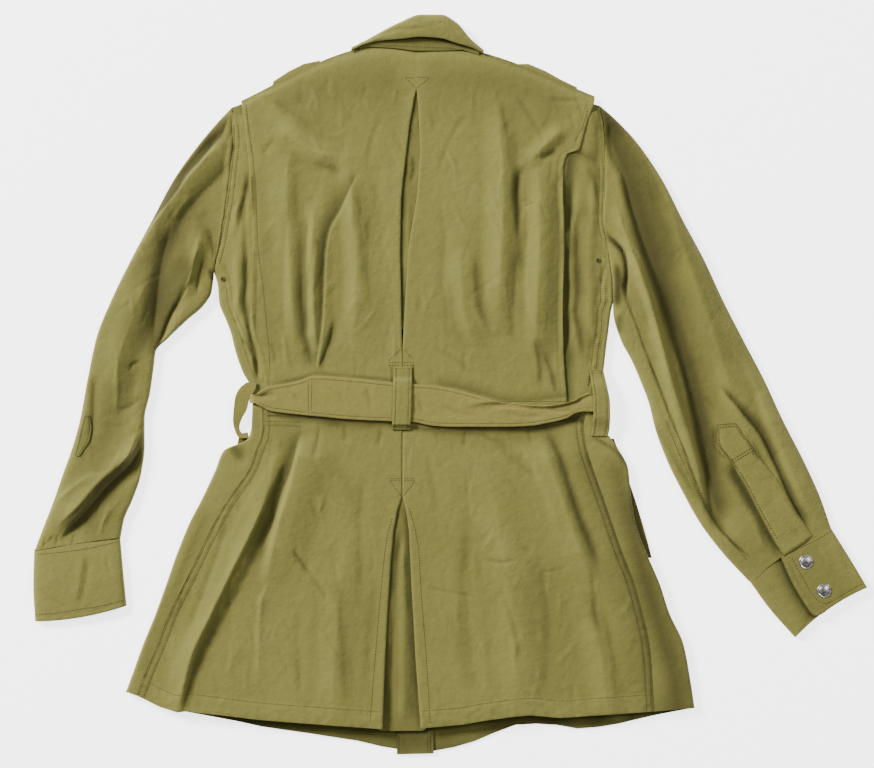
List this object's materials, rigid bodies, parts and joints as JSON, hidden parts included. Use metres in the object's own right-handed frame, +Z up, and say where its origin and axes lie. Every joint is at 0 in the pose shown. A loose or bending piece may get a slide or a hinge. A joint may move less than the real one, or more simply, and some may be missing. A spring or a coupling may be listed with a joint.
{
  "type": "belted field jacket",
  "caption": "Belted cotton field jacket lying flat on its front, with a pleated back, flared skirt and spread sleeves.",
  "frame": {"origin": "bottom centre of the object's box, on the floor it lies on", "axes": "+Z up from the floor to the jacket's back, +Y towards the collar, +X towards the wearer's right sleeve"},
  "size_m": [0.9015, 0.7995, 0.0163],
  "materials": {
    "jacket_cotton": "matt olive cotton twill, worn and softly creased",
    "belt_cotton": "matt olive cotton, slightly warmer than the jacket",
    "nickel": "dull domed press stud caps"
  },
  "bodies": {
    "root": {"back_left": "jacket_cotton", "back_right": "jacket_cotton", "belt_left": "belt_cotton", "belt_loop_centre": "jacket_cotton", "belt_loop_left": "jacket_cotton", "belt_loop_right": "jacket_cotton", "belt_right": "belt_cotton", "collar": "jacket_cotton", "collar_stand": "jacket_cotton", "cuff_left": "jacket_cotton", "cuff_right": "jacket_cotton", "cuff_snap_lower": "nickel", "cuff_snap_upper": "nickel", "front_band": "jacket_cotton", "front_left": "jacket_cotton", "front_right": "jacket_cotton", "hip_pocket_left": "jacket_cotton", "hip_pocket_right": "jacket_cotton", "pleat_inlay_back": "jacket_cotton", "pleat_inlay_skirt": "jacket_cotton", "shoulder_strap_left": "jacket_cotton", "shoulder_strap_right": "jacket_cotton", "side_back_left": "jacket_cotton", "side_back_right": "jacket_cotton", "skirt_back_left": "jacket_cotton", "skirt_back_right": "jacket_cotton", "sleeve_left": "jacket_cotton", "sleeve_placket_left": "jacket_cotton", "sleeve_placket_right": "jacket_cotton", "sleeve_right": "jacket_cotton"}
  },
  "joints": []
}
